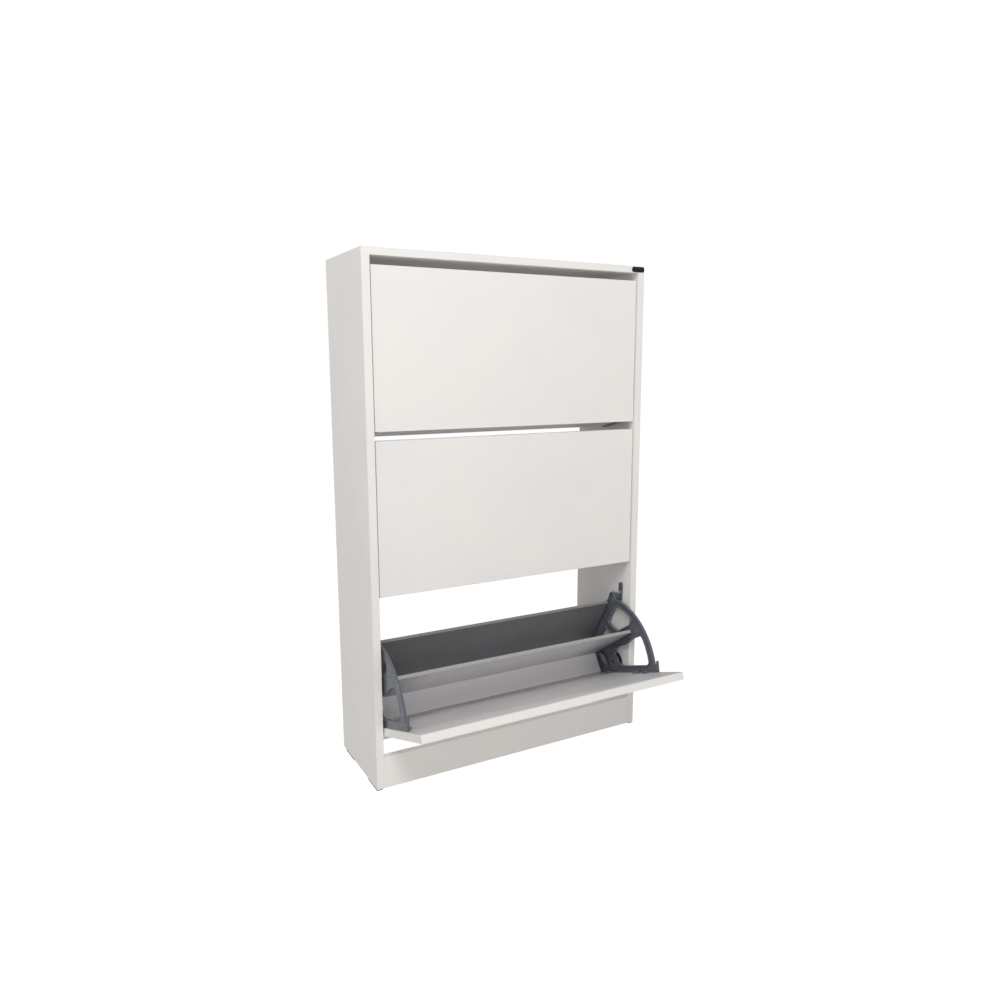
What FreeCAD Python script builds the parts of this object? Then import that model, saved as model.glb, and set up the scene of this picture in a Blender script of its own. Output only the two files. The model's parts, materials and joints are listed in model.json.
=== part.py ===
import FreeCAD, Part
import math
import os

import Sketcher

# Shoe cabinet with three tilting flaps. Millimetres, +Z up, front towards -Y.
# Origin: middle of the cabinet's width, on the wall plane behind it, at floor level.
# Carcass pieces are drawn from the front plane and the side panels' underside, then moved to the origin.
# Flap pieces are drawn about their pivot axis with the flap closed, then placed by height and angle.

DIMS = [
    ("carcass_width", 725.3),
    ("carcass_depth", 243.6),
    ("carcass_height", 1187.0),
    ("board", 18.0),
    ("top_board", 15.6),
    ("plinth_height", 74.6),
    ("plinth_setback", 0.7),
    ("rail_height", 75.0),
    ("rail_board", 16.0),
    ("flap_pitch", 363.0),
    ("flap_low", 83.5),
    ("door_setback", 4.0),
    ("door_height", 343.3),
    ("door_gap", 3.0),
    ("pivot_back", 30.0),
    ("pivot_up", 75.0),
    ("open_angle", 70.7),
    ("thin_board", 8.0),
    ("bracket_outer", 339.0),
    ("bracket_depth", 7.0),
    ("bracket_web", 2.6),
    ("bracket_wall", 2.2),
    ("arc_radius", 174.5),
    ("seat_depth", 10.0),
    ("seat_thick", 2.0),
    ("hub_radius", 22.0),
    ("hub_face", 340.8),
    ("pin_radius", 6.0),
    ("running_gap", 0.06),
    ("plate_radius", 25.0),
    ("plate_thick", 3.5),
    ("stop_thick", 5.0),
    ("screw_radius", 1.75),
    ("screw_head", 3.4),
    ("screw_head_thick", 1.8),
    ("screw_crown", 0.7),
    ("recess_length", 4.2),
    ("recess_width", 0.9),
    ("recess_depth", 1.0),
    ("screw_length", 14.0),
    ("fit_gap", 0.05),
    ("dowel_radius", 4.0),
    ("cam_radius", 7.5),
    ("cam_depth", 12.5),
    ("cam_reach", 34.0),
    ("cam_bolt_radius", 3.0),
    ("bolt_anchor", 10.0),
    ("glide_length", 60.0),
    ("glide_width", 14.0),
    ("glide_thick", 3.0),
    ("plate_width", 38.0),
    ("plate_height", 12.6),
    ("plate_proud", 1.0),
]
FORMULAS = [
    ("front", "=-carcass_depth"),
    ("base", "=glide_thick * 1"),
    ("half_width", "=carcass_width / 2"),
    ("inner", "=carcass_width / 2 - board"),
    ("inner_width", "=carcass_width - 2 * board"),
    ("side_height", "=carcass_height - top_board"),
    ("door_half", "=carcass_width / 2 - board - door_gap"),
    ("door_width", "=carcass_width - 2 * board - 2 * door_gap"),
    ("pivot_y", "=door_setback + board + pivot_back"),
    ("pivot_z_low", "=flap_low + pivot_up"),
    ("pivot_z_middle", "=flap_low + flap_pitch + pivot_up"),
    ("pivot_z_top", "=flap_low + 2 * flap_pitch + pivot_up"),
    ("bracket_inner", "=bracket_outer - bracket_depth"),
    ("board_half", "=bracket_outer - bracket_depth - 0.3"),
]
# Flaps from the top: name, spreadsheet name of the pivot height, angle as built.
FLAPS = [("top", "pivot_z_top", "0"), ("middle", "pivot_z_middle", "0"),
         ("low", "pivot_z_low", "dims.open_angle")]
SIDES = [("left", -1), ("right", 1)]

# Bracket profile: (back from the door's inner face, up from the door's bottom edge, corner radius).
HOOK = [(194.5, 134.5, 3), (202.0, 134.0, 4), (216.5, 130.0, 5), (214.0, 117.0, 5), (198.5, 104.5, 8),
        (191.0, 89.5, 8)]
LOWER_EDGE = [(98.0, -21.5, 4), (89.0, -20.7, 6), (2.0, 1.3, 1.5), (0.0, 8.0, 0)]
FOOT = [(0.0, 258.5, 0.8), (28.5, 263.0, 0.9), (28.5, 260.9, 0.9), (17.0, 258.4, 2), (18.5, 249.35, 3)]
FOOT_HOLLOW = [(0.0, 256.0, 1), (15.2, 256.0, 3), (18.5, 249.35, 3)]
UPPER_HOLE = [(176.5, 127.0, 9), (163.5, 159.0, 80), (142.5, 187.5, 9), (124.0, 177.5, 9),
              (109.5, 117.0, 9), (137.0, 81.5, 6)]
DOOR_HOLE = [(93.5, 216.5, 8), (80.5, 222.5, 60), (62.0, 227.2, 80), (44.0, 229.6, 80), (24.0, 230.0, 9),
             (18.2, 221.0, 9), (18.2, 112.0, 9), (26.5, 97.5, 8), (40.0, 88.0, 8), (60.0, 88.0, 7),
             (68.0, 106.0, 10), (73.5, 150.0, 20), (87.0, 183.0, 20)]
SMALL_HOLE = [(124.0, 63.0, 3), (99.0, 92.0, 4), (82.0, 10.0, 4)]
SLOT_HOLE = [(62.5, 6.5, 4), (26.0, 14.5, 5), (16.5, 44.5, 5), (31.0, 44.5, 6), (46.0, 37.5, 6)]
LUG = [(198.2, 141.3, 1.5), (205.3, 143.9, 1.5), (212.0, 134.0, 2), (209.0, 122.0, 3), (199.5, 122.0, 3),
       (200.5, 131.0, 2)]
SCREW_EARS = [58.0, 184.0, 221.0]
HOOK_EYE = (203.0, 124.0)
HOOK_EYE_RADIUS = 3.3

# Thin boards as (start back, start up, end back, end up) of one face, the body lying to the right of it.
FLOOR_LINE = (3.0, 11.5, 91.5, -10.85)
REAR_LINE = (92.0, -12.9, 187.6, 103.5)
DIVIDER_LINE = (55.3, -1.2, 103.2, 180.5)

doc = FreeCAD.newDocument("shoe_cabinet")
sheet = doc.addObject("Spreadsheet::Sheet", "dims")
for row, (alias, value) in enumerate(DIMS + FORMULAS, start=1):
    sheet.set(f"A{row}", alias)
    sheet.set(f"B{row}", str(value))
    sheet.setAlias(f"B{row}", alias)
doc.recompute()

parts = []


def size(alias):
    return float(sheet.get(alias))


def finish(obj, label):
    """Give a sub-part the name its file takes."""
    obj.Label = label
    parts.append(obj)
    return obj


def finish_carcass(obj, label):
    """Move a piece drawn from the carcass front and underside to the cabinet's origin, and name it."""
    place(obj, "0", "dims.front", "dims.base")
    return finish(obj, label)


def place(obj, x="0", y="0", z="0"):
    """Drive an object's position from expressions."""
    obj.setExpression("Placement.Base.x", x)
    obj.setExpression("Placement.Base.y", y)
    obj.setExpression("Placement.Base.z", z)
    return obj


def box(length, width, height, x, y, z):
    obj = doc.addObject("Part::Box", "block")
    obj.setExpression("Length", length)
    obj.setExpression("Width", width)
    obj.setExpression("Height", height)
    return place(obj, x, y, z)


def cylinder(radius, height, direction, x, y, z):
    """A round bar that starts at x, y, z and runs along direction."""
    obj = doc.addObject("Part::Cylinder", "bar")
    obj.Placement.Rotation = FreeCAD.Rotation(FreeCAD.Vector(0, 0, 1), FreeCAD.Vector(*direction))
    obj.setExpression("Radius", radius)
    obj.setExpression("Height", height)
    return place(obj, x, y, z)


def group(objects):
    obj = doc.addObject("Part::Compound", "group")
    obj.Links = objects
    return obj


def fuse(objects):
    obj = doc.addObject("Part::MultiFuse", "joined")
    obj.Shapes = objects
    return obj


def cut(base, tools):
    obj = doc.addObject("Part::Cut", "drilled")
    obj.Base = base
    obj.Tool = fuse(tools) if len(tools) > 1 else tools[0]
    return obj


def signed(side, expression):
    return f"{side} * ({expression})"


def put_on_pivot(obj, height, angle):
    """Move a flap piece from the pivot frame to its place in the cabinet."""
    spin = f"create(<<rotation>>; create(<<vector>>; 1; 0; 0); {angle})"
    spot = f"create(<<vector>>; 0; dims.front + dims.pivot_y; dims.base + dims.{height})"
    obj.setExpression("Placement", f"create(<<placement>>; {spot}; {spin})")
    return obj


# Rounded outlines --------------------------------------------------------------------------------


def arc_corners(radius, start, end, pieces):
    """Corners that make an arc about the pivot once rounded, with a hair of straight between."""
    step = (end - start) / pieces
    reach = radius / math.cos(math.radians(step / 2))
    corners = []
    for index in range(pieces):
        angle = math.radians(start + step * (index + 0.5))
        back = size("pivot_back") + reach * math.cos(angle)
        up = size("pivot_up") + reach * math.sin(angle)
        corners.append((back, up, radius * 0.99))
    return corners


def pivot_frame(corners):
    return [(back - size("pivot_back"), up - size("pivot_up"), radius) for back, up, radius in corners]


def turn(corners):
    """Twice the signed area: positive when the corners run anticlockwise."""
    total = 0.0
    for (ax, ay, _), (bx, by, _) in zip(corners, corners[1:] + corners[:1]):
        total += ax * by - bx * ay
    return total


def inset(corners, distance):
    """Move every edge of a closed outline inwards (outwards when distance is negative)."""
    sign = 1 if turn(corners) > 0 else -1
    moved = []
    count = len(corners)
    for index in range(count):
        before, here, after = corners[index - 1], corners[index], corners[(index + 1) % count]
        first = FreeCAD.Vector(here[0] - before[0], here[1] - before[1], 0).normalize()
        second = FreeCAD.Vector(after[0] - here[0], after[1] - here[1], 0).normalize()
        normal = (FreeCAD.Vector(-first.y, first.x, 0) + FreeCAD.Vector(-second.y, second.x, 0)) * sign
        scale = 2 * distance / normal.dot(normal)
        outside = (first.x * second.y - first.y * second.x) * sign < 0
        radius = here[2] + distance if outside else here[2] - distance
        moved.append((here[0] + normal.x * scale, here[1] + normal.y * scale, max(radius, 0.5)))
    return moved


def outline(corners):
    """Lines and corner arcs of a closed outline, ready for a sketch."""
    edges = []
    joints = []
    count = len(corners)
    for index in range(count):
        before, here, after = corners[index - 1], corners[index], corners[(index + 1) % count]
        point = FreeCAD.Vector(here[0], here[1], 0)
        back = (FreeCAD.Vector(before[0], before[1], 0) - point).normalize()
        ahead = (FreeCAD.Vector(after[0], after[1], 0) - point).normalize()
        half = math.acos(max(-1.0, min(1.0, back.dot(ahead)))) / 2
        reach = here[2] / math.tan(half)
        if here[2] < 0.01 or reach < 0.01:
            joints.append((point, point))
            continue
        start, end = point + back * reach, point + ahead * reach
        middle = point + (back + ahead).normalize() * (here[2] / math.sin(half) - here[2])
        joints.append((start, end))
        edges.append(Part.Arc(start, middle, end))
    for index in range(count):
        start, end = joints[index - 1][1], joints[index][0]
        if start.distanceToPoint(end) > 0.001:
            edges.append(Part.LineSegment(start, end))
    return edges


# PartDesign helpers ------------------------------------------------------------------------------


def new_body(label):
    body = doc.addObject("PartDesign::Body", "body")
    return finish(body, label)


def side_sketch(body, offset):
    """A sketch on the body's YZ plane, moved out along X."""
    plane = [f for f in body.Origin.OriginFeatures if f.Role == "YZ_Plane"][0]
    sketch = body.newObject("Sketcher::SketchObject", "profile")
    sketch.AttachmentSupport = [(plane, "")]
    sketch.MapMode = "FlatFace"
    sketch.setExpression("AttachmentOffset.Base.z", offset)
    return sketch


def draw(sketch, loops):
    for corners in loops:
        for edge in outline(corners):
            sketch.addGeometry(edge, False)


def feature(body, kind, sketch, length, reversed_way):
    obj = body.newObject(kind, "feature")
    obj.Profile = sketch
    obj.setExpression("Length", length)
    obj.Reversed = reversed_way
    body.Tip = obj
    return obj


def circle_sketch(body, offset, radius, centre):
    """One circle whose radius follows the spreadsheet."""
    sketch = side_sketch(body, offset)
    sketch.addGeometry(Part.Circle(FreeCAD.Vector(*centre, 0), FreeCAD.Vector(0, 0, 1), 1.0), False)
    sketch.addConstraint(Sketcher.Constraint("Radius", 0, 1.0))
    sketch.addConstraint(Sketcher.Constraint("DistanceX", -1, 1, 0, 3, centre[0]))
    sketch.addConstraint(Sketcher.Constraint("DistanceY", -1, 1, 0, 3, centre[1]))
    sketch.setExpression("Constraints[0]", radius)
    return sketch


# Fasteners ---------------------------------------------------------------------------------------


def screw(direction, x, y, z, length="dims.screw_length"):
    """A pan-head screw whose head sits with its underside at x, y, z; the shank runs along direction."""
    shank = cylinder("dims.screw_radius", length, direction, x, y, z)
    return fuse([shank, screw_head([-value for value in direction], (x, y, z))])


def shifted(spot, direction, amount):
    """A point moved along direction, as expressions."""
    return [f"{start} + {value:.5f} * ({amount})" for start, value in zip(spot, direction)]


def screw_head(outwards, spot):
    """A pan head with a sloping crown and a cross recess; its underside is centred on spot."""
    rim = cylinder("dims.screw_head", "dims.screw_head_thick - dims.screw_crown", outwards, *spot)
    crown = doc.addObject("Part::Cone", "crown")
    crown.Placement.Rotation = rim.Placement.Rotation
    crown.setExpression("Radius1", "dims.screw_head")
    crown.setExpression("Radius2", "dims.screw_head - 1.2")
    crown.setExpression("Height", "dims.screw_crown")
    place(crown, *shifted(spot, outwards, "dims.screw_head_thick - dims.screw_crown"))
    head = fuse([rim, crown])
    floor = shifted(spot, outwards, "dims.screw_head_thick - dims.recess_depth")
    for length, width in (("recess_length", "recess_width"), ("recess_width", "recess_length")):
        corner = rim.Placement.Rotation.multVec(FreeCAD.Vector(-size(length) / 2, -size(width) / 2, 0))
        start = shifted(floor, corner, "1")
        slot = box(f"dims.{length}", f"dims.{width}", "dims.recess_depth + 1", *start)
        slot.Placement.Rotation = rim.Placement.Rotation
        head = cut(head, [slot])
    return head


def screw_hole(direction, x, y, z, length="dims.screw_length + 1"):
    return cylinder("dims.screw_radius + dims.fit_gap", length, direction, x, y, z)


def dowel_spots():
    """Direction, start point and length of every dowel."""
    spots = []
    for _, side in SIDES:
        for depth in ("60", "185"):
            start = (signed(side, "dims.half_width - dims.board / 2"), depth, "dims.side_height - 20")
            spots.append(((0, 0, 1), start, "30"))
        for y, low in RAIL_ROWS:
            for rise in ("18", "57"):
                start = (signed(side, "dims.inner + 11"), y, f"{low} + {rise}")
                spots.append(((-side, 0, 0), start, "30"))
    return spots


RAIL_ROWS = [
    ("dims.plinth_setback + 8", "0"),
    ("dims.carcass_depth - dims.rail_board / 2", "0"),
    ("dims.carcass_depth - dims.rail_board / 2", "dims.side_height - dims.rail_height"),
]


def cam_spots():
    """Cam centre line start, its direction, and the bolt's start, direction and length."""
    spots = []
    for _, side in SIDES:
        for depth in ("32", "213"):
            mouth = (signed(side, "dims.inner"), depth, "dims.side_height - dims.cam_reach")
            anchor = (signed(side, "dims.half_width - dims.board / 2"), depth,
                      "dims.side_height + dims.bolt_anchor")
            spots.append((mouth, (side, 0, 0), anchor, (0, 0, -1)))
        for index, (y, low) in enumerate(RAIL_ROWS):
            face = "dims.plinth_setback + 16" if index == 0 else "dims.carcass_depth - dims.rail_board"
            inwards = (0, -1, 0) if index == 0 else (0, 1, 0)
            mouth = (signed(side, "dims.inner - dims.cam_reach"), face, f"{low} + 37.5")
            anchor = (signed(side, "dims.inner + dims.bolt_anchor"), y, f"{low} + 37.5")
            spots.append((mouth, inwards, anchor, (-side, 0, 0)))
    return spots


def carcass_holes():
    """Cutters for every dowel, cam and cam bolt; each panel is cut by those that reach it."""
    tools = []
    for direction, start, length in dowel_spots():
        tools.append(cylinder("dims.dowel_radius + dims.fit_gap", length, direction, *start))
    for mouth, inwards, anchor, along in cam_spots():
        tools.append(cylinder("dims.cam_radius + dims.fit_gap", "dims.cam_depth", inwards, *mouth))
        tools.append(cylinder("dims.cam_bolt_radius + dims.fit_gap", "dims.bolt_anchor + dims.cam_reach",
                              along, *anchor))
    return group(tools)


def make_dowels():
    dowels = []
    for direction, start, length in dowel_spots():
        dowels.append(cylinder("dims.dowel_radius", length, direction, *start))
    finish_carcass(group(dowels), "dowels")


def make_cams():
    discs = []
    bolts = []
    for mouth, inwards, anchor, along in cam_spots():
        disc = cylinder("dims.cam_radius", "dims.cam_depth - 0.2", inwards, *mouth)
        bore = cylinder("dims.cam_bolt_radius + dims.fit_gap", "dims.bolt_anchor + dims.cam_reach",
                        along, *anchor)
        discs.append(cut(disc, [bore]))
        bolts.append(cylinder("dims.cam_bolt_radius", "dims.bolt_anchor + dims.cam_reach - 0.5",
                              along, *anchor))
    finish_carcass(group(discs), "cam_discs")
    finish_carcass(group(bolts), "cam_bolts")


# Carcass -----------------------------------------------------------------------------------------

PIVOT_ROWS = [(name, height) for name, height, _ in FLAPS]
STOP_SCREW_BACK = "16.4"
STOP_SCREW_UP = "272"


def plate_screw_spots(side):
    spots = []
    for _, height in PIVOT_ROWS:
        for rise in ("17", "-17"):
            spots.append((signed(side, "dims.inner - dims.plate_thick + dims.screw_head_thick"),
                          "dims.pivot_y", f"dims.{height} + {rise}"))
    return spots


def stop_screw_spots(side):
    spots = []
    for _, height in PIVOT_ROWS:
        y = f"dims.pivot_y - dims.pivot_back + {STOP_SCREW_BACK}"
        z = f"dims.{height} - dims.pivot_up + {STOP_SCREW_UP}"
        spots.append((signed(side, "dims.inner - dims.stop_thick"), y, z))
    return spots


def make_sides(holes):
    for name, side in SIDES:
        x = "-dims.half_width" if side < 0 else "dims.inner"
        panel = box("dims.board", "dims.carcass_depth", "dims.side_height", x, "0", "0")
        tools = [holes]
        for spot in plate_screw_spots(side) + stop_screw_spots(side):
            tools.append(screw_hole((side, 0, 0), *spot))
        finish_carcass(cut(panel, tools), f"side_panel_{name}")


def make_cross_boards(holes):
    top = box("dims.carcass_width", "dims.carcass_depth", "dims.top_board",
              "-dims.half_width", "0", "dims.side_height")
    finish_carcass(cut(top, [holes]), "top_panel")
    plinth = box("dims.inner_width", "16", "dims.plinth_height", "-dims.inner", "dims.plinth_setback", "0")
    finish_carcass(cut(plinth, [holes]), "plinth")
    for label, low in (("rear_rail_low", "0"), ("rear_rail_high", "dims.side_height - dims.rail_height")):
        rail = box("dims.inner_width", "dims.rail_board", "dims.rail_height", "-dims.inner",
                   "dims.carcass_depth - dims.rail_board", low)
        finish_carcass(cut(rail, [holes]), label)


def make_glides():
    strips = []
    for _, side in SIDES:
        for y in ("2", "dims.carcass_depth - dims.glide_length - 19"):
            x = "-dims.half_width" if side < 0 else "dims.half_width - dims.glide_width"
            strips.append(box("dims.glide_width", "dims.glide_length", "dims.glide_thick",
                              x, y, "-dims.glide_thick"))
    finish_carcass(group(strips), "glides")


def make_name_plate():
    """A small blank plate with rounded ends on the top panel's front edge."""
    length = "dims.plate_width - dims.plate_height"
    left = "dims.half_width - dims.plate_width + dims.plate_height / 2"
    middle = "dims.side_height + dims.top_board / 2"
    block = box(length, "dims.plate_proud", "dims.plate_height", left, "-dims.plate_proud",
                f"{middle} - dims.plate_height / 2")
    ends = []
    for x in (left, f"{left} + {length}"):
        ends.append(cylinder("dims.plate_height / 2", "dims.plate_proud", (0, -1, 0), x, "0", middle))
    finish_carcass(fuse([block] + ends), "name_plate")


# Pivots and stops on the side panels -------------------------------------------------------------


def make_pivot_plates():
    for name, height in PIVOT_ROWS:
        for label, side in SIDES:
            face = signed(side, "dims.inner - dims.plate_thick")
            disc = cylinder("dims.plate_radius", "dims.plate_thick", (side, 0, 0),
                            face, "dims.pivot_y", f"dims.{height}")
            pin = cylinder("dims.pin_radius", "dims.inner - dims.plate_thick - dims.bracket_inner - 1",
                           (-side, 0, 0), face, "dims.pivot_y", f"dims.{height}")
            tools = []
            for rise in ("17", "-17"):
                centre = ("dims.pivot_y", f"dims.{height} + {rise}")
                tools.append(cylinder("dims.screw_head + dims.fit_gap", "dims.screw_head_thick",
                                      (side, 0, 0), face, *centre))
                tools.append(screw_hole((side, 0, 0), face, *centre))
            finish_carcass(cut(fuse([disc, pin]), tools), f"pivot_{name}_{label}")


def stop_corners():
    leg = [(10.5, 251, 2), (34.5, 246, 1.5), (34.5, 250.5, 1.5), (22.3, 253.5, 2.5), (22.3, 298, 5.5),
           (10.5, 298, 5.5)]
    return pivot_frame(leg)


def slot_corners():
    return pivot_frame([(14, 262, 2.3), (18.8, 262, 2.3), (18.8, 293.5, 2.3), (14, 293.5, 2.3)])


def make_stops():
    for name, height in PIVOT_ROWS:
        for label, side in SIDES:
            body = new_body(f"stop_{name}_{label}")
            sketch = side_sketch(body, signed(side, "dims.inner - dims.stop_thick"))
            draw(sketch, [stop_corners(), slot_corners()])
            feature(body, "PartDesign::Pad", sketch, "dims.stop_thick", side < 0)
            put_on_pivot(body, height, "0")


def make_side_screws():
    plates = []
    stops = []
    for _, side in SIDES:
        for spot in plate_screw_spots(side):
            plates.append(screw((side, 0, 0), *spot))
        for spot in stop_screw_spots(side):
            stops.append(stop_screw(side, spot))
    finish_carcass(group(plates), "pivot_screws")
    finish_carcass(group(stops), "stop_screws")


def stop_screw(side, spot):
    """A screw with a washer wide enough to bridge the stop's slot."""
    inwards = (-side, 0, 0)
    washer = cylinder("4.8", "1", inwards, *spot)
    shank = cylinder("dims.screw_radius", "dims.screw_length", (side, 0, 0), *spot)
    return fuse([washer, shank, screw_head(inwards, shifted(spot, inwards, "1"))])


# Flaps: drawn about the pivot --------------------------------------------------------------------


def back(value):
    return f"{value} - dims.pivot_back"


def up(value):
    return f"{value} - dims.pivot_up"


def door_screw_spots(side):
    x = signed(side, "dims.bracket_inner - 8")
    return [(x, back("4"), up(str(rise))) for rise in SCREW_EARS]


def along(line, distance, off):
    """A point on a thin board's line, off to the side the board lies on, as pivot-frame numbers."""
    run = FreeCAD.Vector(line[2] - line[0], line[3] - line[1], 0).normalize()
    point = FreeCAD.Vector(line[0], line[1], 0) + run * distance + FreeCAD.Vector(run.y, -run.x, 0) * off
    return point.x - size("pivot_back"), point.y - size("pivot_up")


def board_screw_spots(line, side):
    """Where the seat screws enter a thin board from its far face, and which way they run."""
    run = FreeCAD.Vector(line[2] - line[0], line[3] - line[1], 0)
    length = run.Length
    run.normalize()
    direction = (0, -run.y, run.x)
    spots = []
    for share in (0.3, 0.8):
        y, z = along(line, length * share, size("thin_board") + size("seat_thick") + 0.1)
        spots.append((direction, (signed(side, "dims.bracket_inner - 5"), f"{y:.4f}", f"{z:.4f}")))
    return spots


def make_door(name, height, angle):
    panel = box("dims.door_width", "dims.board", "dims.door_height",
                "-dims.door_half", back("-dims.board"), up("0"))
    tools = []
    for _, side in SIDES:
        for spot in door_screw_spots(side):
            tools.append(screw_hole((0, -1, 0), *spot))
    door = cut(panel, tools)
    put_on_pivot(door, height, angle)
    finish(door, f"flap_{name}_door")


def make_thin_board(name, piece, line, height, angle):
    body = new_body(f"flap_{name}_{piece}")
    sketch = side_sketch(body, "-dims.board_half")
    run = FreeCAD.Vector(line[2] - line[0], line[3] - line[1], 0)
    corners = []
    thick = size("thin_board")
    for distance, off in ((0, 0), (run.Length, 0), (run.Length, thick), (0, thick)):
        corners.append((*along(line, distance, off), 0.3))
    draw(sketch, [corners])
    feature(body, "PartDesign::Pad", sketch, "2 * dims.board_half", False)
    for _, side in SIDES:
        for direction, spot in board_screw_spots(line, side):
            drill_board(body, line, side, direction, spot)
    put_on_pivot(body, height, angle)


def drill_board(body, line, side, direction, spot):
    """A blind pilot hole for one seat screw."""
    tool = body.newObject("PartDesign::SubtractiveCylinder", "pilot")
    tool.setExpression("Radius", "dims.screw_radius + dims.fit_gap")
    tool.Height = 9.0
    tool.Placement.Rotation = FreeCAD.Rotation(FreeCAD.Vector(0, 0, 1), FreeCAD.Vector(*direction))
    place(tool, *spot)
    body.Tip = tool


def strip(line, start, end, near, far):
    """A thin rectangle beside a board's line, as outline corners."""
    corners = []
    for distance, off in ((start, near), (end, near), (end, far), (start, far)):
        corners.append((*along(line, distance, off), 0.4))
    return corners


def seat_strips():
    under = size("thin_board") + 0.1
    floor_run = math.dist(FLOOR_LINE[:2], FLOOR_LINE[2:])
    rear_run = math.dist(REAR_LINE[:2], REAR_LINE[2:])
    divider_run = math.dist(DIVIDER_LINE[:2], DIVIDER_LINE[2:])
    over = under + size("seat_thick")
    return [
        strip(FLOOR_LINE, 6, floor_run - 6, under, over),
        strip(REAR_LINE, 10, rear_run - 8, under, over),
        strip(DIVIDER_LINE, 12, divider_run - 12, under, over),
    ]


def bracket_loops(foot):
    start = math.degrees(math.atan2(247.0 - size("pivot_up"), 22.0 - size("pivot_back")))
    arc = arc_corners(size("arc_radius"), start - 1.8, 21.0, 5)
    rim = pivot_frame(LOWER_EDGE + foot + arc + HOOK)
    holes = [pivot_frame(hole) for hole in (UPPER_HOLE, DOOR_HOLE, SMALL_HOLE, SLOT_HOLE)]
    return rim, holes


def make_bracket(name, label, side, height, angle):
    """A moulded side bracket: open frame with a rim, hub, board seats, screw ears and an end hook."""
    body = new_body(f"flap_{name}_bracket_{label}")
    rim, holes = bracket_loops(FOOT)
    hollow_rim, _ = bracket_loops(FOOT_HOLLOW)
    wall = size("bracket_wall")
    frame = side_sketch(body, signed(side, "dims.bracket_outer"))
    draw(frame, [rim] + holes)
    feature(body, "PartDesign::Pad", frame, "dims.bracket_depth", side > 0)
    hollow = side_sketch(body, signed(side, "dims.bracket_inner"))
    draw(hollow, [inset(hollow_rim, wall)] + [inset(hole, -wall) for hole in holes])
    feature(body, "PartDesign::Pocket", hollow, "dims.bracket_depth - dims.bracket_web", side > 0)
    seats = side_sketch(body, signed(side, "dims.bracket_outer - dims.bracket_web"))
    draw(seats, seat_strips())
    reach = "dims.bracket_depth - dims.bracket_web + dims.seat_depth"
    feature(body, "PartDesign::Pad", seats, reach, side > 0)
    hub = circle_sketch(body, signed(side, "dims.bracket_outer - 1"), "dims.hub_radius", (0, 0))
    feature(body, "PartDesign::Pad", hub, "dims.bracket_depth - 1", side > 0)
    boss = circle_sketch(body, signed(side, "dims.hub_face"), "dims.hub_radius - 8", (0, 0))
    feature(body, "PartDesign::Pad", boss, "4", side > 0)
    add_lug(body, side)
    add_ears(body, side)
    bore_radius = "dims.pin_radius + dims.running_gap"
    bore = circle_sketch(body, signed(side, "dims.hub_face + 1"), bore_radius, (0, 0))
    feature(body, "PartDesign::Pocket", bore, "dims.bracket_depth + 4", side < 0)
    eye = (HOOK_EYE[0] - size("pivot_back"), HOOK_EYE[1] - size("pivot_up"))
    hole = circle_sketch(body, signed(side, "dims.hub_face + 5"), str(HOOK_EYE_RADIUS), eye)
    feature(body, "PartDesign::Pocket", hole, "dims.bracket_depth + 10", side < 0)
    drill_seats(body, side)
    put_on_pivot(body, height, angle)


def add_lug(body, side):
    """The raised face on the hook that meets the stop when the flap is open."""
    lug = side_sketch(body, signed(side, "dims.bracket_outer - 1"))
    draw(lug, [pivot_frame(LUG)])
    feature(body, "PartDesign::Pad", lug, "6.3", side < 0)


def add_ears(body, side):
    """Flat ears on the door's inner face that take the fixing screws."""
    for rise in SCREW_EARS:
        ear = body.newObject("PartDesign::AdditiveBox", "ear")
        ear.Length = 16.0
        ear.Width = 4.0
        ear.Height = 17.0
        x = "dims.bracket_inner - 15" if side > 0 else "-dims.bracket_inner - 1"
        place(ear, x, back("0"), up(str(rise - 8.5)))
        body.Tip = ear
        hole = body.newObject("PartDesign::SubtractiveCylinder", "ear_hole")
        hole.setExpression("Radius", "dims.screw_radius + dims.fit_gap")
        hole.Height = 8.0
        hole.Placement.Rotation = FreeCAD.Rotation(FreeCAD.Vector(0, 0, 1), FreeCAD.Vector(0, -1, 0))
        place(hole, signed(side, "dims.bracket_inner - 8"), back("6"), up(str(rise)))
        body.Tip = hole


def drill_seats(body, side):
    for line in (FLOOR_LINE, REAR_LINE, DIVIDER_LINE):
        for direction, spot in board_screw_spots(line, side):
            drill_board(body, line, side, direction, spot)


def make_flap_screws(name, height, angle):
    screws = []
    for _, side in SIDES:
        for spot in door_screw_spots(side):
            screws.append(screw((0, -1, 0), *spot))
        for line in (FLOOR_LINE, REAR_LINE, DIVIDER_LINE):
            for direction, spot in board_screw_spots(line, side):
                screws.append(screw(direction, *spot, length="8"))
    holder = group(screws)
    put_on_pivot(holder, height, angle)
    finish(holder, f"flap_{name}_screws")


def make_flap(name, height, angle):
    make_door(name, height, angle)
    for label, side in SIDES:
        make_bracket(name, label, side, height, angle)
    make_thin_board(name, "floor_board", FLOOR_LINE, height, angle)
    make_thin_board(name, "rear_board", REAR_LINE, height, angle)
    make_thin_board(name, "divider_board", DIVIDER_LINE, height, angle)
    make_flap_screws(name, height, angle)


def build():
    holes = carcass_holes()
    make_sides(holes)
    make_cross_boards(holes)
    make_dowels()
    make_cams()
    make_glides()
    make_name_plate()
    make_pivot_plates()
    make_stops()
    make_side_screws()
    for name, height, angle in FLAPS:
        make_flap(name, height, angle)


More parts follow.
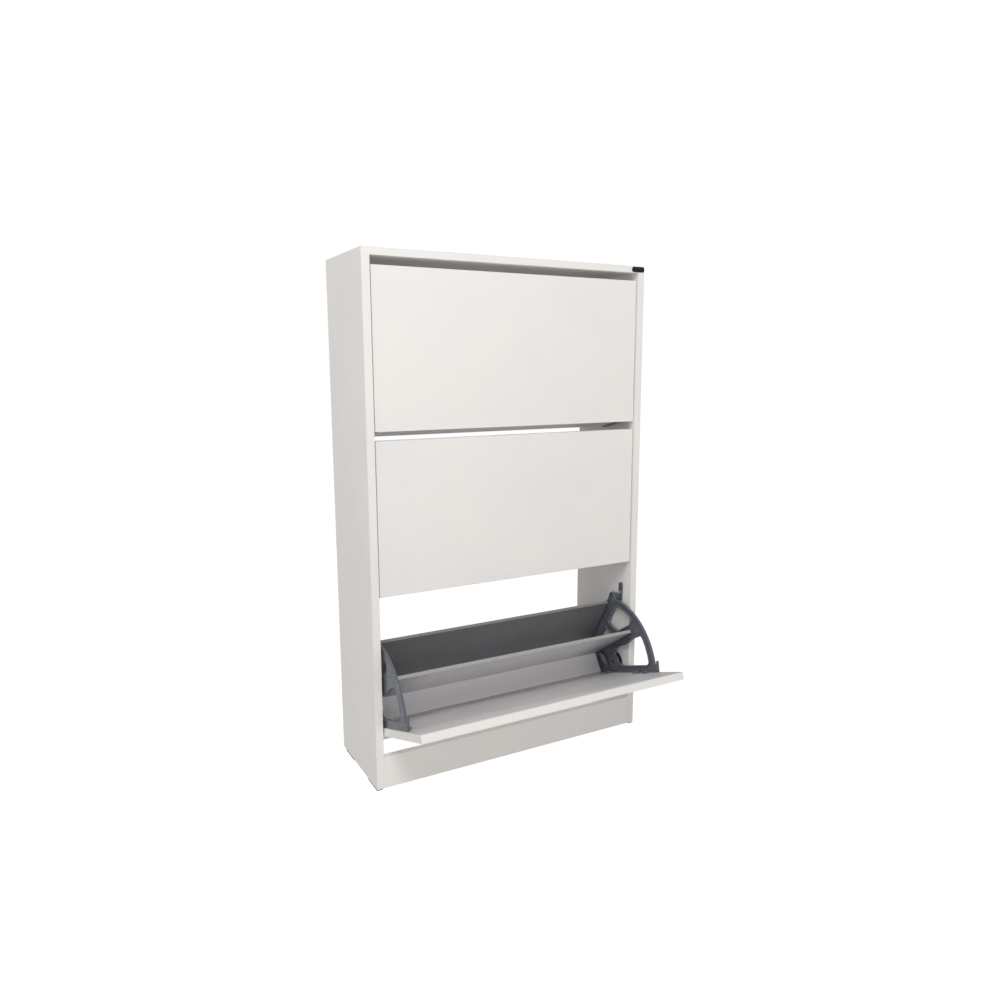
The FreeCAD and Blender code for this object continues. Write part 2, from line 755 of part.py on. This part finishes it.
def export():
    doc.recompute()
    for obj in doc.Objects:
        if "Invalid" in obj.State or "Error" in obj.State:
            raise RuntimeError(f"{obj.Name} ({obj.Label}) did not compute")
    os.makedirs("parts", exist_ok=True)
    for obj in parts:
        if obj.Shape.isNull() or not obj.Shape.isValid() or not obj.Shape.Solids:
            raise RuntimeError(f"{obj.Label} is not a valid solid")
        print(f"{obj.Label}: {len(obj.Shape.Solids)} solids, {obj.Shape.Volume / 1000:.1f} cm3")
        obj.Shape.exportStep(f"parts/{obj.Label}.step")


build()
export()
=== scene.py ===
"""Looks of the shoe cabinet: materials, camera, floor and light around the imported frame.

Lengths are in metres.
"""

import json
import math

import bpy
from mathutils import Matrix, Vector

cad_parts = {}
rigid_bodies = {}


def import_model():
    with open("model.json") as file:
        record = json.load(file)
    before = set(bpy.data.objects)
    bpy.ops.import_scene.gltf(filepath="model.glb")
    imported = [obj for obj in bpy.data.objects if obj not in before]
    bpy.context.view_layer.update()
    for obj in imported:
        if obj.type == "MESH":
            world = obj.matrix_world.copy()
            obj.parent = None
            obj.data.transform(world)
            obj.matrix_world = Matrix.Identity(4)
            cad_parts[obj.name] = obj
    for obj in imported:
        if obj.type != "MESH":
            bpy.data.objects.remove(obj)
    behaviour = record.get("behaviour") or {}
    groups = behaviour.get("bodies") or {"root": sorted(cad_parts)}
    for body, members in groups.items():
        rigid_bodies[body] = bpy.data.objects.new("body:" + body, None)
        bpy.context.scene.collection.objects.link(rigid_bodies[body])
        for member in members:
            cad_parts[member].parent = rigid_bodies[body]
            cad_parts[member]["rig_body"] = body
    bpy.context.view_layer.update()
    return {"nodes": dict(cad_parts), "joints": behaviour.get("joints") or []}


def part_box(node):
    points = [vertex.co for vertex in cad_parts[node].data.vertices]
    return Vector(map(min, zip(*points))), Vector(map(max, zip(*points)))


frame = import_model()
NODES = frame["nodes"]
JOINTS = {joint["child"]: joint for joint in frame["joints"]}
FLAPS = ("top", "middle", "low")
SIDES = ("left", "right")
CARCASS_BOARDS = (
    "side_panel_left", "side_panel_right", "top_panel", "plinth", "rear_rail_low", "rear_rail_high",
)


# ---------------------------------------------------------------- colour and node helpers


def linear(red, green, blue):
    """An 8-bit display colour as a linear RGBA tuple."""
    values = []
    for value in (red, green, blue):
        value /= 255
        values.append(value / 12.92 if value <= 0.04045 else ((value + 0.055) / 1.055) ** 2.4)
    return (*values, 1.0)


class Tree:
    """A short way to write a material's node tree."""

    def __init__(self, name):
        self.material = bpy.data.materials.new(name)
        self.material.use_nodes = True
        self.nodes = self.material.node_tree.nodes
        self.links = self.material.node_tree.links
        self.shader = next(n for n in self.nodes if n.type == "BSDF_PRINCIPLED")
        self.coords = self.nodes.new("ShaderNodeTexCoord")

    def link(self, source, target):
        self.links.new(source, target)

    def feed(self, socket, value):
        if isinstance(value, bpy.types.NodeSocket):
            self.links.new(value, socket)
        else:
            socket.default_value = value

    def math(self, operation, first, second=0.0, clamp=False):
        node = self.nodes.new("ShaderNodeMath")
        node.operation = operation
        node.use_clamp = clamp
        self.feed(node.inputs[0], first)
        self.feed(node.inputs[1], second)
        return node.outputs[0]

    def noise(self, vector, scale, detail=2.0, rough=0.5):
        node = self.nodes.new("ShaderNodeTexNoise")
        self.feed(node.inputs["Vector"], vector)
        node.inputs["Scale"].default_value = scale
        node.inputs["Detail"].default_value = detail
        node.inputs["Roughness"].default_value = rough
        return node.outputs["Fac"]

    def remap(self, value, low, high, out_low=0.0, out_high=1.0):
        node = self.nodes.new("ShaderNodeMapRange")
        self.feed(node.inputs["Value"], value)
        node.inputs["From Min"].default_value = low
        node.inputs["From Max"].default_value = high
        node.inputs["To Min"].default_value = out_low
        node.inputs["To Max"].default_value = out_high
        return node.outputs["Result"]

    def mix(self, factor, first, second):
        node = self.nodes.new("ShaderNodeMix")
        node.data_type = "RGBA"
        self.feed(node.inputs[0], factor)
        self.feed(node.inputs[6], first)
        self.feed(node.inputs[7], second)
        return node.outputs[2]

    def stretch(self, vector, scale, spin=0.0):
        """Turn a point about X, then scale it."""
        node = self.nodes.new("ShaderNodeMapping")
        self.link(vector, node.inputs["Vector"])
        node.inputs["Rotation"].default_value = (spin, 0.0, 0.0)
        node.inputs["Scale"].default_value = scale
        return node.outputs["Vector"]

    def bump(self, height, distance, strength):
        node = self.nodes.new("ShaderNodeBump")
        node.inputs["Strength"].default_value = strength
        node.inputs["Distance"].default_value = distance
        self.feed(node.inputs["Height"], height)
        return node.outputs["Normal"]

    def finish(self, colour, roughness, normal=None, **constants):
        """Feed the shader; further keywords set its constants, with _ for a space in the name."""
        self.feed(self.shader.inputs["Base Color"], colour)
        self.feed(self.shader.inputs["Roughness"], roughness)
        if normal is not None:
            self.link(normal, self.shader.inputs["Normal"])
        for name, value in constants.items():
            self.shader.inputs[name.replace("_", " ")].default_value = value
        return self.material


def edge_distance(tree, vector, low, high):
    """Distance to the nearest edge of a box, on any of its faces: the middle of the three face distances."""
    split = tree.nodes.new("ShaderNodeSeparateXYZ")
    tree.feed(split.inputs[0], vector)
    gaps = []
    for axis in range(3):
        first = tree.math("SUBTRACT", split.outputs[axis], low[axis])
        second = tree.math("SUBTRACT", high[axis], split.outputs[axis])
        gaps.append(tree.math("ABSOLUTE", tree.math("MINIMUM", first, second)))
    small = tree.math("MINIMUM", gaps[0], gaps[1])
    large = tree.math("MAXIMUM", gaps[0], gaps[1])
    return tree.math("MAXIMUM", small, tree.math("MINIMUM", large, gaps[2]))


# ---------------------------------------------------------------- materials

# Each tone is a pair of close colours that a soft noise moves between.
WHITE = (linear(240, 237, 233), linear(236, 234, 232))
INNER_GREY = (linear(209, 206, 206), linear(204, 202, 203))
DIVIDER_GREY = (linear(222, 221, 224), linear(217, 216, 219))
# Painted shade: the darker colour the divider takes at its two ends, beside the brackets.
DIVIDER_END_PAINTED_SHADE = linear(150, 151, 154)
# Painted shade: the rear board's face is a dark grey that stands in for the shade inside the flap.
REAR_PAINTED_SHADE_GREY = (linear(118, 118, 120), linear(111, 111, 113))
# Painted light: the floor boards get a paler white than the carcass and doors.
FLOOR_WHITE_PAINTED_LIGHT = (linear(250, 248, 250), linear(246, 244, 246))
WEAR = linear(222, 216, 206)
CORE = (linear(104, 92, 84), linear(140, 126, 114))
SAWN_GREY = (linear(160, 159, 156), linear(172, 171, 168))
REAR_EDGE = (linear(132, 132, 132), linear(150, 150, 150))
# Face tone, edge tone and painted end shade of the thin boards in a flap; the rear board's face tone is
# painted shade.
THIN_BOARDS = {
    "floor": (FLOOR_WHITE_PAINTED_LIGHT, CORE, None),
    "rear": (REAR_PAINTED_SHADE_GREY, REAR_EDGE, None),
    "divider": (DIVIDER_GREY, SAWN_GREY, DIVIDER_END_PAINTED_SHADE),
}
BAND_LINE = linear(150, 142, 132)
BAND_INSET = 0.0009
BAND_LINE_HALF = 0.00018
RUB_REACH = 0.0012
PAINTED_END_SHADE_REACH = 0.11
FACE_REACH = 0.0004
CREASE_ANGLE = math.radians(38)
WELD_DISTANCE = 0.00001
# Radius of the rounded edges.
BOARD_EDGE = 0.0006
THIN_BOARD_EDGE = 0.0004
MOULDED_EDGE = 0.0005
STOP_EDGE = 0.0006
PLATE_EDGE = 0.0003


def in_plane_frame(node):
    """Angle about X that squares a board up, found as the smallest box round its section."""
    points = {(round(v.co.y, 6), round(v.co.z, 6)) for v in NODES[node].data.vertices}
    edges = set()
    for edge in NODES[node].data.edges:
        first, second = (NODES[node].data.vertices[i].co for i in edge.vertices)
        if abs(first.x - second.x) < 1e-6 and (first - second).length > 0.006:
            edges.add(round(math.atan2(second.z - first.z, second.y - first.y) % (math.pi / 2), 5))
    best = None
    for angle in sorted(edges):
        across, up = math.cos(angle), math.sin(angle)
        wide = [y * across + z * up for y, z in points]
        tall = [z * across - y * up for y, z in points]
        area = (max(wide) - min(wide)) * (max(tall) - min(tall))
        if best is None or area < best[0] - 1e-12:
            best = (area, angle, min(wide), max(wide), min(tall), max(tall))
    return best[1:]


def board_material(node, tones=WHITE, ends=None, grey_back=False, painted_end_shade=None):
    """Melamine board: fine pearl grain, faint clouding, edge band lines, rubbed edges, bare or grey faces."""
    angle, wide_low, wide_high, tall_low, tall_high = in_plane_frame(node)
    box_low, box_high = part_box(node)
    low = (box_low.x, wide_low, tall_low)
    high = (box_high.x, wide_high, tall_high)
    tree = Tree(f"melamine_{node}")
    point = tree.stretch(tree.coords.outputs["Object"], (1, 1, 1), -angle)
    pearl = tree.noise(point, 1400, 3, 0.6)
    cloud = tree.noise(point, 5, 3, 0.5)
    fleck = tree.noise(point, 260, 2, 0.5)
    colour = tree.mix(tree.remap(cloud, 0.35, 0.65), *tones)
    if grey_back:
        back = face_mask(tree, point, *inner_face(node, angle, low, high))
        colour = tree.mix(back, colour, tree.mix(tree.remap(cloud, 0.35, 0.65), *INNER_GREY))
    # Painted shade: the board's colour darkens towards both ends.
    if painted_end_shade is not None:
        colour = tree.mix(painted_end_shade_mask(tree, point, low[0], high[0]), colour, painted_end_shade)
    colour = tree.mix(tree.remap(fleck, 0.62, 0.8, 0.0, 0.06), colour, WEAR)
    near = edge_distance(tree, point, low, high)
    patchy = tree.noise(point, 45, 3, 0.6)
    rub = tree.math("MULTIPLY", tree.remap(near, 0.0, RUB_REACH, 1.0, 0.0), tree.remap(patchy, 0.45, 0.7))
    colour = tree.mix(tree.math("MULTIPLY", rub, 0.5), colour, WEAR)
    off_seam = tree.math("ABSOLUTE", tree.math("SUBTRACT", near, BAND_INSET))
    seam = tree.remap(off_seam, 0.0, BAND_LINE_HALF, 1.0, 0.0)
    colour = tree.mix(tree.math("MULTIPLY", seam, 0.22), colour, BAND_LINE)
    rough = tree.remap(tree.noise(point, 30, 3), 0.3, 0.7, 0.38, 0.48)
    height = tree.math("SUBTRACT", tree.math("MULTIPLY", pearl, 0.6), tree.math("MULTIPLY", seam, 0.35))
    normal = tree.bump(height, 0.00012, 0.35)
    if ends is not None:
        run = 1 if high[1] - low[1] > high[2] - low[2] else 2
        end_mask = face_mask(tree, point, run, (low[run], high[run]))
        chips = tree.noise(tree.stretch(point, (0.5, 1, 1)), 900, 4, 0.65)
        core = tree.mix(tree.remap(chips, 0.35, 0.68), *ends)
        colour = tree.mix(end_mask, colour, core)
        rough = tree.math("ADD", rough, tree.math("MULTIPLY", end_mask, 0.4), True)
    return tree.finish(colour, rough, normal, Specular_IOR_Level=0.4, Coat_Weight=0.06, Coat_Roughness=0.3)


def painted_end_shade_mask(tree, point, left, right):
    """1 at the two ends of a long board, fading to 0 inwards: where painted shade darkens the board beside
    the brackets.
    """
    split = tree.nodes.new("ShaderNodeSeparateXYZ")
    tree.feed(split.inputs[0], point)
    first = tree.math("SUBTRACT", split.outputs[0], left)
    second = tree.math("SUBTRACT", right, split.outputs[0])
    return tree.remap(tree.math("MINIMUM", first, second), 0.0, PAINTED_END_SHADE_REACH, 1.0, 0.0)


def face_mask(tree, point, axis, values):
    """1 on the faces that lie at the given coordinates along one axis, 0 elsewhere."""
    split = tree.nodes.new("ShaderNodeSeparateXYZ")
    tree.feed(split.inputs[0], point)
    gaps = [tree.math("ABSOLUTE", tree.math("SUBTRACT", split.outputs[axis], value)) for value in values]
    near = gaps[0] if len(gaps) == 1 else tree.math("MINIMUM", *gaps)
    return tree.remap(near, FACE_REACH, FACE_REACH * 1.5, 1.0, 0.0)


def inner_face(node, angle, low, high):
    """Axis and coordinate of the face of a door that looks at its hinge."""
    _, y, z = JOINTS[NODES[node]["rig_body"]]["pos_m"]
    hinge = (0.0, y * math.cos(angle) + z * math.sin(angle), z * math.cos(angle) - y * math.sin(angle))
    axis = 1 if high[1] - low[1] < high[2] - low[2] else 2
    nearest = min((low[axis], high[axis]), key=lambda value: abs(value - hinge[axis]))
    return axis, [nearest]


def plastic_material(name, dark, light, roughness=(0.38, 0.5), grain=2600, wear_and_highlight=None):
    """Moulded plastic: fine spark-eroded grain, slight flow marks and paler edges, partly rubbed wear and
    partly painted edge highlight.
    """
    tree = Tree(name)
    point = tree.coords.outputs["Object"]
    flow = tree.noise(tree.stretch(point, (1, 1, 0.35)), 28, 4, 0.6)
    colour = tree.mix(tree.remap(flow, 0.3, 0.7), dark, light)
    # Paler edges: rubbed wear, and a painted highlight along the rims.
    if wear_and_highlight is not None:
        bevel = tree.nodes.new("ShaderNodeBevel")
        bevel.samples = 4
        bevel.inputs["Radius"].default_value = 0.0012
        geometry = tree.nodes.new("ShaderNodeNewGeometry")
        dot = tree.nodes.new("ShaderNodeVectorMath")
        dot.operation = "DOT_PRODUCT"
        tree.link(bevel.outputs[0], dot.inputs[0])
        tree.link(geometry.outputs["Normal"], dot.inputs[1])
        edge = tree.remap(dot.outputs["Value"], 0.7, 0.98, 1.0, 0.0)
        patchy = tree.remap(tree.noise(point, 60, 3, 0.6), 0.35, 0.65, 0.2, 0.7)
        colour = tree.mix(tree.math("MULTIPLY", edge, patchy), colour, wear_and_highlight)
    rough = tree.remap(tree.noise(point, 90, 3), 0.3, 0.7, *roughness)
    normal = tree.bump(tree.noise(point, grain, 2, 0.6), 0.00015, 0.4)
    return tree.finish(colour, rough, normal, Specular_IOR_Level=0.5)


def metal_material(name, base, dark, roughness=(0.22, 0.4)):
    """Zinc-plated steel with fine turning marks and dull patches."""
    tree = Tree(name)
    point = tree.coords.outputs["Object"]
    patch = tree.noise(point, 220, 3, 0.6)
    colour = tree.mix(tree.remap(patch, 0.35, 0.7), base, dark)
    rough = tree.remap(tree.noise(point, 500, 2), 0.3, 0.7, *roughness)
    normal = tree.bump(tree.noise(tree.stretch(point, (1, 1, 6)), 900, 2), 0.00006, 0.4)
    return tree.finish(colour, rough, normal, Metallic=1.0)


def wood_material(name):
    """Beech dowel: fine straight grain with short dark rays."""
    tree = Tree(name)
    point = tree.coords.outputs["Object"]
    grain = tree.noise(tree.stretch(point, (1, 1, 0.08)), 900, 4, 0.6)
    rays = tree.noise(tree.stretch(point, (1, 1, 0.3)), 2200, 2, 0.5)
    colour = tree.mix(tree.remap(grain, 0.3, 0.7), linear(214, 178, 130), linear(190, 148, 98))
    colour = tree.mix(tree.remap(rays, 0.6, 0.8, 0.0, 0.5), colour, linear(150, 108, 66))
    return tree.finish(colour, 0.7, tree.bump(grain, 0.0002, 0.4))


def dress(node, material):
    """Give a CAD node one material."""
    data = NODES[node].data
    data.materials.clear()
    data.materials.append(material)


def soften(node, width):
    """Round the hard edges of a CAD node a little."""
    obj = NODES[node]
    weld = obj.modifiers.new("weld", "WELD")
    weld.merge_threshold = WELD_DISTANCE
    bevel = obj.modifiers.new("rounded_edges", "BEVEL")
    bevel.width = width
    bevel.segments = 2
    bevel.limit_method = "ANGLE"
    bevel.angle_limit = CREASE_ANGLE
    bevel.use_clamp_overlap = True


def set_materials():
    for node in CARCASS_BOARDS:
        dress(node, board_material(node))
        soften(node, BOARD_EDGE)
    bracket = plastic_material("bracket_plastic", linear(91, 95, 103), linear(101, 105, 113), (0.26, 0.38),
                               wear_and_highlight=linear(168, 172, 179))
    pivot = plastic_material("pivot_plastic", linear(26, 26, 28), linear(34, 34, 37), (0.3, 0.42))
    stop = plastic_material("stop_plastic", linear(70, 74, 80), linear(82, 86, 92),
                            wear_and_highlight=linear(110, 114, 120))
    glide = plastic_material("glide_plastic", linear(18, 18, 19), linear(26, 26, 27), (0.5, 0.65))
    plate = plastic_material("plate_black", linear(22, 20, 20), linear(30, 27, 27), (0.18, 0.28), 4000)
    steel = metal_material("screw_steel", linear(206, 206, 204), linear(168, 168, 166))
    zinc = metal_material("cam_zinc", linear(186, 188, 190), linear(150, 152, 154), (0.32, 0.5))
    dress("dowels", wood_material("dowel_wood"))
    for node in ("cam_discs", "cam_bolts"):
        dress(node, zinc)
    for node in ("pivot_screws", "stop_screws"):
        dress(node, steel)
    dress("glides", glide)
    soften("glides", MOULDED_EDGE)
    dress("name_plate", plate)
    soften("name_plate", PLATE_EDGE)
    for flap in FLAPS:
        dress(f"flap_{flap}_door", board_material(f"flap_{flap}_door", grey_back=True))
        soften(f"flap_{flap}_door", BOARD_EDGE)
        for piece, (tones, ends, painted_end_shade) in THIN_BOARDS.items():
            node = f"flap_{flap}_{piece}_board"
            dress(node, board_material(node, tones, ends, painted_end_shade=painted_end_shade))
            soften(node, THIN_BOARD_EDGE)
        dress(f"flap_{flap}_screws", steel)
        for side in SIDES:
            dress(f"flap_{flap}_bracket_{side}", bracket)
            soften(f"flap_{flap}_bracket_{side}", MOULDED_EDGE)
            dress(f"pivot_{flap}_{side}", pivot)
            soften(f"pivot_{flap}_{side}", MOULDED_EDGE)
            dress(f"stop_{flap}_{side}", stop)
            soften(f"stop_{flap}_{side}", STOP_EDGE)


# ---------------------------------------------------------------- stage, camera, light


FLOOR_RADIUS = 14
DOME_RADIUS = 13.8


def add_stage():
    """A plain pale floor, and a white backdrop dome that only the camera sees."""
    bpy.ops.mesh.primitive_circle_add(vertices=96, radius=FLOOR_RADIUS, fill_type="NGON")
    floor = bpy.context.object
    floor.name = "studio_floor"
    tree = Tree("studio_floor")
    haze = tree.noise(tree.coords.outputs["Object"], 0.6, 2)
    colour = tree.mix(haze, linear(128, 128, 128), linear(134, 134, 134))
    material = tree.finish(colour, 0.9, Specular_IOR_Level=0.0)
    tree.shader.inputs["Emission Color"].default_value = (1, 1, 1, 1)
    tree.shader.inputs["Emission Strength"].default_value = 0.95
    floor.data.materials.append(material)
    floor.visible_diffuse = False
    floor.visible_glossy = False

    bpy.ops.mesh.primitive_uv_sphere_add(segments=48, ring_count=24, radius=DOME_RADIUS)
    dome = bpy.context.object
    dome.name = "studio_backdrop"
    glow = bpy.data.materials.new("studio_backdrop")
    glow.use_nodes = True
    nodes = glow.node_tree.nodes
    nodes.clear()
    emission = nodes.new("ShaderNodeEmission")
    emission.inputs["Strength"].default_value = 1.02
    output = nodes.new("ShaderNodeOutputMaterial")
    glow.node_tree.links.new(emission.outputs[0], output.inputs["Surface"])
    dome.data.materials.append(glow)
    for ray in ("diffuse", "glossy", "transmission", "volume_scatter", "shadow"):
        setattr(dome, f"visible_{ray}", False)


# Lens in mm; angles in degrees: yaw to the right of +Y, pitch downwards, roll about the view.
CAMERA_LENS = 28.31
CAMERA_SENSOR = 36.0
CAMERA_PLACE = (-0.9103, -1.8242, 0.9434)
CAMERA_YAW, CAMERA_PITCH, CAMERA_ROLL = 28.74, 9.45, -0.18


def add_camera():
    data = bpy.data.cameras.new("camera")
    data.lens = CAMERA_LENS
    data.sensor_width = CAMERA_SENSOR
    data.clip_start = 0.02
    data.clip_end = 60
    camera = bpy.data.objects.new("camera", data)
    bpy.context.scene.collection.objects.link(camera)
    yaw, pitch, roll = (math.radians(v) for v in (CAMERA_YAW, CAMERA_PITCH, CAMERA_ROLL))
    forward = Vector((math.sin(yaw) * math.cos(pitch), math.cos(yaw) * math.cos(pitch), -math.sin(pitch)))
    right = Vector((math.cos(yaw), -math.sin(yaw), 0))
    up = right.cross(forward)
    right_rolled = right * math.cos(roll) + up * math.sin(roll)
    up_rolled = up * math.cos(roll) - right * math.sin(roll)
    matrix = Matrix((right_rolled, up_rolled, -forward)).transposed().to_4x4()
    matrix.translation = Vector(CAMERA_PLACE)
    camera.matrix_world = matrix
    bpy.context.scene.camera = camera


# Name, place, aimed at, width, height, power in watts.
AREA_LIGHTS = (
    ("key", (-1.4, -2.5, 3.7), (0, -0.2, 0.8), 1.6, 1.6, 92),
    ("side", (-3.2, -0.5, 1.7), (-0.36, -0.12, 0.7), 1.6, 1.6, 20),
    ("front_fill", (-0.7, -4.2, 1.1), (0, -0.2, 0.4), 1.8, 1.2, 29),
)
# Ambient strength straight below and above the line 0.6 up from the horizon.
SKY_BELOW, SKY_ABOVE, SKY_TOP = 0.74, 0.26, 0.6
SKY_COLOUR = (1, 0.985, 0.975, 1)


def area_light(name, location, target, width, height, power):
    data = bpy.data.lights.new(name, "AREA")
    data.shape = "RECTANGLE"
    data.size = width
    data.size_y = height
    data.energy = power
    light = bpy.data.objects.new(name, data)
    bpy.context.scene.collection.objects.link(light)
    light.location = location
    light.rotation_mode = "QUATERNION"
    light.rotation_quaternion = (Vector(target) - Vector(location)).to_track_quat("-Z", "Y")


def sky_strength(nodes, links):
    """Ambient strength by height in the sky: strongest from below, weakest from overhead."""
    coords = nodes.new("ShaderNodeTexCoord")
    split = nodes.new("ShaderNodeSeparateXYZ")
    links.new(coords.outputs["Generated"], split.inputs[0])
    fall = nodes.new("ShaderNodeMapRange")
    fall.inputs["From Min"].default_value = -1.0
    fall.inputs["From Max"].default_value = SKY_TOP
    fall.inputs["To Min"].default_value = SKY_BELOW
    fall.inputs["To Max"].default_value = SKY_ABOVE
    links.new(split.outputs[2], fall.inputs["Value"])
    return fall.outputs["Result"]


def add_lights():
    world = bpy.data.worlds.new("studio")
    world.use_nodes = True
    nodes, links = world.node_tree.nodes, world.node_tree.links
    nodes["Background"].inputs["Color"].default_value = SKY_COLOUR
    links.new(sky_strength(nodes, links), nodes["Background"].inputs["Strength"])
    bpy.context.scene.world = world
    for light in AREA_LIGHTS:
        area_light(*light)
    scene = bpy.context.scene
    scene.view_settings.view_transform = "Standard"
    scene.view_settings.look = "None"
    scene.view_settings.exposure = 0.0
    scene.view_settings.gamma = 1.0


def main():
    set_materials()
    add_stage()
    add_camera()
    add_lights()


main()
